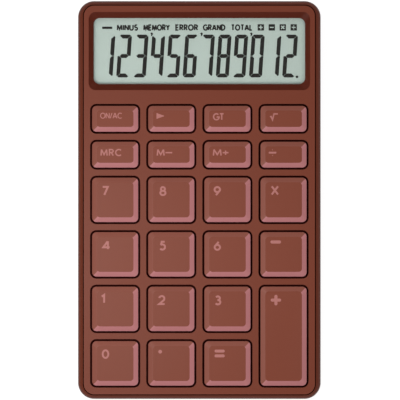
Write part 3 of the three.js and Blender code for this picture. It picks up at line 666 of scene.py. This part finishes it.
def legend_pieces(sign, x, top, height, width=None):
    """The solids of one legend, with its upper left corner at x and top."""
    bottom = top - height
    if sign == "arrow":
        reach = 3.3 * mm
        taper = 0.93  # a wholly pointed tip would have no face
        piece = rounded_block(
            "arrow", (x, bottom, legend_foot), (x + reach, top, legend_top), 0.05 * mm, 1
        )
        middle = (top + bottom) / 2
        for vertex in piece.data.vertices:
            share = (vertex.co.x - x) / reach
            vertex.co.y = middle + (vertex.co.y - middle) * (1 - taper * share)
        return [piece]
    if sign == "divide":
        thick = 0.8 * mm
        wide = 3.3 * mm
        dot = 0.36 * mm
        solids = [bar(x, bottom + (height - thick) / 2, wide, thick, thick / 3)]
        for y in (bottom + dot / 2, top - dot / 2):
            solids.append(rod("dot", dot / 2, legend_foot, legend_top, x + wide / 2, y, 16))
        return solids
    if sign == "minus":
        wide = 4.6 * mm
        return [bar(x, bottom, wide, height, height / 2)]
    if sign == "plus":
        thick = 1.35 * mm
        across = bar(x, bottom + (height - thick) / 2, height, thick, thick / 2)
        upright = bar(x + (height - thick) / 2, bottom, thick, height, thick / 2)
        combine(across, upright, "UNION")
        return [across]
    if sign == "equals":
        thick = 1.28 * mm
        wide = 4.45 * mm
        return [bar(x, y, wide, thick, thick / 2) for y in (bottom, top - thick)]
    if sign == "point":
        radius = height / 2
        return [rod("dot", radius, legend_foot, legend_top, x + radius, bottom + radius, 24)]
    weight, gap = letter_weights.get(len(sign), (0.155, 0.24))
    stroke = height * weight
    return [
        lettering("legend", sign, x, bottom, height, stroke, legend_foot, legend_top, width, gap)
    ]


for name in key_names:
    low, high = level_box(name)
    inset = flange_overlap + key_gap
    width, length = high.x - low.x - 2 * inset, high.y - low.y - 2 * inset
    cap = key_cap(name + "_cap", width, length)
    sign, right, down, *sizes = legends[name]
    solids = legend_pieces(
        sign, -width / 2 + right * mm, length / 2 - down * mm, *[size * mm for size in sizes]
    )
    for solid in solids:
        wear(solid, legend_plastic)
    join([cap, *solids])
    cap.data.transform(Matrix.Translation(((low.x + high.x) / 2, (low.y + high.y) / 2, 0)))
    fit(cap, name, "key_plastic", name)

# ---------------------------------------------------------------- display
# A twelve-digit reflective liquid crystal display under a clear acrylic window: a grey-green
# polariser, two thin glasses and a reflector in a black tray. The dark segments, the words above
# them and the four small sign boxes are what the display shows.

segment_ink = Finish("segment_ink")
ink_tone = segment_ink.between(
    segment_ink.noise(900), (0.011, 0.010, 0.008), (0.015, 0.013, 0.011)
)
segment_ink.surface(Base_Color=ink_tone, Roughness=0.8, Specular_IOR_Level=0.1)
display_ground = Finish("display_ground")
ground_tone = display_ground.between(
    display_ground.noise(120, 3), (0.475, 0.565, 0.512), (0.492, 0.582, 0.530)
)
display_ground.surface(
    Base_Color=ground_tone,
    Roughness=0.55 + display_ground.noise(3000) * 0.1,
    Specular_IOR_Level=0.15,
)

panel_top = level_box("lcd_front_polarizer")[1].z
ink_bottom = panel_top + 0.01 * mm
ink_top = panel_top + 0.06 * mm
digit_height = 18.55 * mm
digit_width = 5.65 * mm
digit_pitch = 7.19 * mm
digit_bottom = 53.1 * mm
digit_slant = 0.068
first_digit = -43.25 * mm
segment_width = 1.7 * mm
segment_gap = 0.06 * mm
joint_in, joint_down = 0.36 * mm, 0.50 * mm
corner_cut = 1.05 * mm


def segments():
    """Outlines of the seven segments of a digit, in the usual order a to g."""
    width, height, middle = digit_width, digit_height, digit_height / 2
    thick, gap, cut = segment_width, segment_gap, corner_cut
    top = [
        (thick + gap, height - thick),
        (width - thick - gap, height - thick),
        (width - joint_in - gap, height - joint_down),
        (width - cut, height),
        (cut, height),
        (joint_in + gap, height - joint_down),
    ]
    left = [
        (0, middle + gap),
        (thick / 2, middle + gap),
        (thick, middle + thick / 2 + gap),
        (thick, height - thick - gap),
        (joint_in, height - joint_down - gap),
        (0, height - cut),
    ]
    centre = [
        (thick / 2 + gap, middle),
        (thick + gap, middle - thick / 2),
        (width - thick - gap, middle - thick / 2),
        (width - thick / 2 - gap, middle),
        (width - thick - gap, middle + thick / 2),
        (thick + gap, middle + thick / 2),
    ]

    def turned(outline):
        return [(x, height - y) for x, y in outline]

    def mirrored(outline):
        return [(width - x, y) for x, y in outline]

    right = mirrored(left)
    return [top, right, turned(right), turned(top), turned(left), left, centre]


lit = {
    "0": (0, 1, 2, 3, 4, 5),
    "1": (1, 2),
    "2": (0, 1, 3, 4, 6),
    "3": (0, 1, 2, 3, 6),
    "4": (1, 2, 5, 6),
    "5": (0, 2, 3, 5, 6),
    "6": (0, 2, 3, 4, 5, 6),
    "7": (0, 1, 2),
    "8": (0, 1, 2, 3, 4, 5, 6),
    "9": (0, 1, 2, 3, 5, 6),
}
points, faces = [], []
for place, digit in enumerate("123456789012"):
    for outline in [segments()[i] for i in lit[digit]]:
        start = len(points)
        for x, y in outline:
            across = first_digit + place * digit_pitch + x + y * digit_slant
            points.append((across, digit_bottom + y, ink_bottom))
        faces.append(tuple(range(start, len(points))))
# Commas that part the thousands stand at the top of the row.
comma = [(0, 0), (0.55, 0.3), (0.95, 1.1), (0.7, 1.65), (0.1, 1.7), (-0.2, 1.2), (0.15, 0.8)]
comma_right = 0.68 * mm
comma_bottom = digit_bottom + digit_height - 0.8 * mm
for place in (3, 6, 9):
    left = first_digit + place * digit_pitch + comma_right
    start = len(points)
    points += [(left + x * mm, comma_bottom + y * mm, ink_bottom) for x, y in comma]
    faces.append(tuple(range(start, len(points))))
display_digits = raised("display_digits", points, faces, ink_top - ink_bottom)
point_radius = 0.58 * mm
decimal_point = rod(
    "decimal_point", point_radius, ink_bottom, ink_top, 42.3 * mm, digit_bottom + 0.25 * mm, 24
)
join([display_digits, decimal_point])
wear(display_digits, segment_ink.material)
fit(display_digits, "casing", "display_film")

# The row above the digits: a dash, five words, each with its left edge and its width in
# millimetres, and four boxes with a sign left light in each.
word_height = 2.82 * mm
word_bottom = 73.3 * mm
word_stroke = 0.64 * mm
words = {
    "MINUS": (-35.8, 9.3),
    "MEMORY": (-24.3, 11.6),
    "ERROR": (-10.45, 9.9),
    "GRAND": (1.5, 9.8),
    "TOTAL": (13.65, 9.45),
}
row = [
    lettering(
        *("word", text, left * mm, word_bottom, word_height, word_stroke),
        *(ink_bottom, ink_top, width * mm, 0.36),
    )
    for text, (left, width) in words.items()
]
dash_low = (-42.1 * mm, word_bottom + 0.8 * mm, ink_bottom)
dash_high = (-37.7 * mm, word_bottom + 1.8 * mm, ink_top)
row.append(rounded_block("dash", dash_low, dash_high, 0.1 * mm, 2))

box_lefts = {"plus": 25.25, "minus": 30.0, "times": 34.75, "divide": 39.5}
box_size = 2.75 * mm
box_bottom = word_bottom + 0.1 * mm
box_corner = 0.15 * mm
sign_foot = ink_top - 0.02 * mm
sign_top = ink_top + 0.02 * mm
sign_thick = 0.48 * mm
sign_corner = 0.05 * mm
dot_radius = 0.24 * mm
dot_reach = 0.62 * mm


def sign_stroke(half_width, half_height):
    """A light stroke of a sign, centred on the origin."""
    return rounded_block(
        "sign",
        (-half_width, -half_height, sign_foot),
        (half_width, half_height, sign_top),
        sign_corner,
        2,
    )


signs = []
for sign, left in box_lefts.items():
    low = (left * mm, box_bottom, ink_bottom)
    high = (left * mm + box_size, box_bottom + box_size, ink_top)
    row.append(rounded_block("sign_box", low, high, box_corner, 3))
    reach = (0.95 if sign == "times" else 0.85) * mm
    stroke = sign_stroke(reach, sign_thick / 2)
    if sign in ("plus", "times"):
        combine(stroke, sign_stroke(sign_thick / 2, reach), "UNION")
    if sign == "divide":
        for y in (-dot_reach, dot_reach):
            join([stroke, rod("dot", dot_radius, sign_foot, sign_top, 0, y, 16)])
    turn = Matrix.Rotation(math.radians(45 if sign == "times" else 0), 4, "Z")
    box_middle = (left * mm + box_size / 2, box_bottom + box_size / 2, 0)
    stroke.data.transform(Matrix.Translation(box_middle) @ turn)
    signs.append(stroke)
for pieces, name, finish in (
    (row, "display_words", segment_ink.material),
    (signs, "display_signs", display_ground.material),
):
    joined = join(pieces)
    joined.name = joined.data.name = name
    wear(joined, finish)
    fit(joined, "casing", "display_film")


def paint(material, *names):
    """Gives CAD nodes a material."""
    for name in names:
        wear(nodes[name], material)


paint(display_ground.material, "lcd_front_polarizer", "lcd_reflector")

# The two faces of the clear sheet mirror a twelfth of the light, and the rest goes through.
clear_acrylic = Finish("clear_acrylic")
clear_acrylic.surface(Base_Color=(1, 1, 1, 1), Metallic=1.0, Roughness=0.05, Alpha=0.08)
paint(clear_acrylic.material, "display_window")

thin_glass = Finish("thin_glass")
thin_glass.surface(
    Base_Color=thin_glass.between(thin_glass.noise(60), (0.6, 0.7, 0.64), (0.64, 0.73, 0.68)),
    Roughness=0.05,
    Alpha=0.4,
)
paint(thin_glass.material, "lcd_front_glass", "lcd_rear_glass")

black_foam = Finish("black_foam")
cells = black_foam.noise(2600, 3)
black_foam.surface(
    Base_Color=black_foam.between(cells, (0.02, 0.02, 0.021), (0.045, 0.045, 0.047)),
    Roughness=0.95,
    Normal=black_foam.bump(cells, 0.08 * mm),
)
paint(black_foam.material, "display_gasket")
paint(satin_plastic("black_plastic", (0.02, 0.02, 0.022), 0.55), "lcd_tray")

flex_film = Finish("flex_film")
place = flex_film.node("TexCoord", {}, {}, "Object")
tracks = flex_film.node(
    "TexWave", {"bands_direction": "X"}, {"Vector": place, "Scale": 380.0, "Distortion": 0.0}
)
flex_film.surface(
    Base_Color=flex_film.between(tracks, (0.40, 0.16, 0.03), (0.55, 0.28, 0.12)),
    Roughness=0.35,
    Metallic=tracks * 0.3,
)
paint(flex_film.material, "lcd_ribbon")

# ---------------------------------------------------------------- membrane
# One sheet of pale silicone rubber with a dome under each key, two under the plus key.

silicone = Finish("silicone")
cloud = silicone.noise(70, 3)
silicone.surface(
    Base_Color=silicone.between(cloud, (0.62, 0.59, 0.54), (0.70, 0.67, 0.62)),
    Roughness=0.7 + silicone.noise(1800) * 0.15,
    Normal=silicone.bump(silicone.noise(2500), 0.02 * mm, 0.4),
    Subsurface_Weight=0.15,
    Subsurface_Scale=0.002,
)
sheet_low, sheet_high = level_box("key_membrane")
sheet_bottom = sheet_low.z
sheet_top = sheet_bottom + 0.8 * mm
sheet = rounded_block("membrane_sheet", sheet_low, (*sheet_high.xy, sheet_top), 1.5 * mm, 4)
boss_clearance = 0.4 * mm
edge_margin = 3 * mm
for name in screw_names:
    x, y = middle_of(name).xy
    if y < sheet_high.y - edge_margin:
        hole = rod("boss_hole", boss_radius + boss_clearance, well_below, well_above, x, y, 24)
        combine(sheet, hole, "DIFFERENCE")

dome_top = sheet_high.z
dome_roof = 1 * mm
dome_wall = 0.7 * mm
dome_crown = 3.1 * mm
dome_base = 4.65 * mm
hole_radius = 4.7 * mm
bridge = 2.6 * mm  # between two key holes, which the plus key spans
deck_normal = deck_turn @ Vector((0, 0, 1))


def dome_shape(name):
    """A hollow dome over the origin, open below."""
    bpy.ops.object.select_all(action="DESELECT")
    bpy.ops.mesh.primitive_cone_add(
        vertices=32, radius1=dome_base, radius2=dome_crown, depth=dome_top - sheet_bottom
    )
    dome = bpy.context.object
    dome.name = dome.data.name = name
    inner_base = dome_base - dome_wall
    inner_crown = dome_crown - dome_wall
    bpy.ops.object.mode_set(mode="EDIT")
    bpy.ops.transform.translate(value=(0, 0, (dome_top + sheet_bottom) / 2))
    pick(dome, "faces", lambda face: face.normal.z < -0.9)
    extrude(0, (dome_base, dome_base), (inner_base, inner_base))
    extrude(
        dome_top - sheet_bottom - dome_roof,
        (inner_base, inner_base),
        (inner_crown, inner_crown),
    )
    bpy.ops.mesh.select_all(action="SELECT")
    bpy.ops.mesh.normals_make_consistent(inside=False)
    bpy.ops.object.mode_set(mode="OBJECT")
    return dome


dome_count = 0
for name in key_names:
    low, high = level_box(name)
    x, middle_y = ((low + high) / 2).xy
    is_tall = high.y - low.y > 1.5 * (high.x - low.x)
    row_step = (high.y - low.y + bridge - 2 * flange_overlap) / 4
    for y in (middle_y - row_step, middle_y + row_step) if is_tall else (middle_y,):
        hole = rod("dome_hole", hole_radius, well_below, well_above, x, y, 32)
        combine(sheet, hole, "DIFFERENCE")
        dome = dome_shape(f"dome_{name[4:]}" + (f"_{dome_count}" if is_tall else ""))
        wear(dome, silicone.material)
        soften(dome, 0.25 * mm, 3, 30)
        dome.data.transform(Matrix.Translation((x, y, 0)))
        fit(dome, "casing", "silicone")
        foot = tuple(deck_place @ Vector((x, y, sheet_bottom)))
        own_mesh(dome)
        dome_count += 1
soften(sheet, 0.1 * mm, 2, 30)
wear(sheet, silicone.material)
fit(sheet, "casing", "silicone", "key_membrane")

# ---------------------------------------------------------------- main board
# Glass-fibre laminate under green solder mask, with the chip bonded straight to it under a blob
# of black epoxy. Copper tracks show through the mask as lighter green.

board_laminate = Finish("board_laminate")
place = board_laminate.node("TexCoord", {}, {}, "Object")
tracks = board_laminate.node(
    "TexVoronoi", {"distance": "MANHATTAN", "feature": "F1"}, {"Vector": place, "Scale": 260.0}
)
edges = board_laminate.node(
    "ValToRGB", {"stops": [(0.44, (0, 0, 0)), (0.5, (1, 1, 1))]}, {0: tracks}
)
board_laminate.surface(
    Base_Color=board_laminate.between(edges * 0.8, (0.012, 0.10, 0.035), (0.03, 0.19, 0.07)),
    Roughness=0.35 + board_laminate.noise(700) * 0.1,
    Normal=board_laminate.bump(edges, 0.03 * mm, 0.6),
)
paint(board_laminate.material, "main_board")


def plain_finish(name, dark, light, roughness, metallic=0.0, scale=800, depth=0.0):
    """A finish whose tone wanders a little between two colours."""
    finish = Finish(name)
    wander = finish.noise(scale, 3)
    finish.surface(
        Base_Color=finish.between(wander, dark, light),
        Roughness=roughness - 0.05 + wander * 0.1,
        Metallic=metallic,
    )
    if depth:
        finish.surface(Normal=finish.bump(wander, depth, 0.5))
    return finish.material


black_resin = plain_finish(
    "black_resin", (0.008, 0.008, 0.009), (0.014, 0.014, 0.015), 0.3, depth=0.03 * mm
)
sleeve = plain_finish("sleeve", (0.012, 0.013, 0.02), (0.02, 0.021, 0.03), 0.35)
ochre_ceramic = plain_finish("ochre_ceramic", (0.33, 0.2, 0.08), (0.42, 0.27, 0.12), 0.5)
paint(black_resin, "chip_on_board", "timing_resistor")
paint(sleeve, "buffer_capacitor")
paint(ochre_ceramic, "ceramic_capacitor")

# ---------------------------------------------------------------- power
# One AAA cell in a printed jacket with a bare steel cap, between nickel-plated spring steel
# contacts. Two insulated leads run from the contacts to the board.

bright_nickel = plain_finish(
    "bright_nickel", (0.52, 0.50, 0.46), (0.62, 0.60, 0.56), 0.25, 1.0, 1200, 0.01 * mm
)
paint(bright_nickel, "positive_contact", "negative_contact", "contact_spring")
cell_low, cell_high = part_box("battery_cell")
cell_jacket = Finish("cell_jacket")
place = cell_jacket.node("TexCoord", {}, {}, "Object")
across = cell_jacket.node("SeparateXYZ", {}, {0: place}, "X")
share = (across - cell_low[0]) * (1 / (cell_high[0] - cell_low[0]))
printed = cell_jacket.node(
    "ValToRGB",
    {
        "stops": [
            (0.0, (0.5, 0.49, 0.46)),
            (0.015, (0.03, 0.05, 0.09)),
            (0.70, (0.55, 0.34, 0.14)),
            (0.965, (0.5, 0.49, 0.46)),
        ]
    },
    {0: share},
)
printed.socket.node.color_ramp.interpolation = "CONSTANT"
cell_jacket.surface(
    Base_Color=printed,
    Roughness=0.3 + cell_jacket.noise(500) * 0.08,
    Metallic=0.6,
)
paint(cell_jacket.material, "battery_cell")
red_insulation = plain_finish("red_insulation", (0.40, 0.02, 0.015), (0.47, 0.03, 0.02), 0.4)
black_insulation = plain_finish("black_insulation", (0.012,) * 3, (0.02,) * 3, 0.4)
paint(red_insulation, "red_lead")
paint(black_insulation, "black_lead")

# ---------------------------------------------------------------- battery door
# A cover in the casing's plastic that wraps from the floor up the back wall. It slides off
# backwards, and three grooves give the thumb a grip.

door = copy_of("battery_door", "battery_cover")
soften(door, 0.12 * mm, 2, 28, join_flats=False)
# The cover wears the tub's colour, which is painted darker as painted shade.
wear(door, tub_plastic)
fit(door, "battery_door", "case_plastic", "battery_door", on_deck=False)

# ---------------------------------------------------------------- feet and screws
# Four rubber discs glued into shallow sockets, and pan-head steel screws with a cross recess:
# six come up through wells in the floor, and four hold the board.

foot_rubber = plain_finish("foot_rubber", (0.018,) * 3, (0.03,) * 3, 0.85, depth=0.05 * mm)
for name in [name for name in nodes if name.startswith("foot_")]:
    foot = copy_of(name, name + "_pad")
    soften(foot, 0.25 * mm, 3, 40)
    wear(foot, foot_rubber)
    fit(foot, "casing", "black_rubber", name, on_deck=False)
screw_steel = plain_finish("screw_steel", (0.50, 0.49, 0.47), (0.60, 0.59, 0.57), 0.3, 1.0, 1500)
paint(screw_steel, *[name for name in nodes if "_screw_" in name])

# ---------------------------------------------------------------- studio
# A white table under a white sky, and a soft light up to the left. The camera looks straight
# down on the deck from far away.

# The table is a sheet of opal plastic lit from below, so that it stays white in the shadows.
opal_sheet = Finish("opal_sheet")
opal_sheet.surface(
    Base_Color=opal_sheet.between(opal_sheet.noise(3, 2), (0.20,) * 3, (0.21,) * 3),
    Roughness=0.9,
    Emission_Color=(1, 1, 1, 1),
    Emission_Strength=0.9,
)

table_size = 40
table_drop = 0.2 * mm
bpy.ops.object.select_all(action="DESELECT")
bpy.ops.mesh.primitive_plane_add(size=table_size, location=(0, 0, -table_drop))
table = bpy.context.object
table.name = "table"
wear(table, opal_sheet.material)

# A dark card under the calculator keeps the table's light out of its seams.
card_side, card_end = 51 * mm, 85.25 * mm
card = rounded_block(
    "card",
    (-card_side, -card_end, -0.15 * mm),
    (card_side, card_end, -0.05 * mm),
    9 * mm,
    6,
)
wear(card, plain_finish("dark_card", (0.01,) * 3, (0.02,) * 3, 0.9))

# A broad overhead light that fades towards the horizon, with a small dark port in its middle.
# Each height is the sine of the angle above the horizon.
world = bpy.data.worlds.new("studio")
bpy.context.scene.world = world
world.use_nodes = True
sky = world.node_tree
heights = {0.0: 0.15, 0.5: 0.25, 0.8: 1.0, 0.93: 1.5, 0.97: 1.5, 0.985: 0.12, 1.0: 0.08}
direction = sky.nodes.new("ShaderNodeTexCoord")
parts = sky.nodes.new("ShaderNodeSeparateXYZ")
ring = sky.nodes.new("ShaderNodeValToRGB")
while len(ring.color_ramp.elements) < len(heights):
    ring.color_ramp.elements.new(0.5)
sky_strength = 2.0  # the ramp's colours stop at 1, so the strength makes up for it
for element, (height, light) in zip(ring.color_ramp.elements, heights.items()):
    element.position = height
    element.color = (*(light / sky_strength,) * 3, 1)
sky.links.new(direction.outputs["Generated"], parts.inputs[0])
sky.links.new(parts.outputs["Z"], ring.inputs[0])
sky.links.new(ring.outputs["Color"], sky.nodes["Background"].inputs["Color"])
sky.nodes["Background"].inputs["Strength"].default_value = sky_strength

softbox_light = bpy.data.lights.new("softbox", "AREA")
softbox_light.shape = "DISK"
softbox_light.size = 0.12
softbox_light.energy = 0.42
softbox = bpy.data.objects.new("softbox", softbox_light)
bpy.context.collection.objects.link(softbox)
softbox.location = (-0.08, -0.05, 0.25)
deck_centre = deck_place @ Vector((0, 0, 0))
aim = deck_centre - softbox.location
softbox.rotation_euler = aim.to_track_quat("-Z", "Y").to_euler()

camera_distance = 3.0
view_width = 0.17304
view_shift = 0.00028
sensor_width = 36
camera_data = bpy.data.cameras.new("camera")
camera_data.sensor_width = sensor_width
camera_data.lens = sensor_width * camera_distance / view_width
camera_data.clip_end = 20
camera = bpy.data.objects.new("camera", camera_data)
bpy.context.collection.objects.link(camera)
raised_up = Matrix.Translation(deck_normal * camera_distance)
camera.matrix_world = raised_up @ deck_place @ Matrix.Translation((view_shift, 0, 0))
bpy.context.scene.camera = camera
bpy.context.scene.view_settings.view_transform = "Standard"
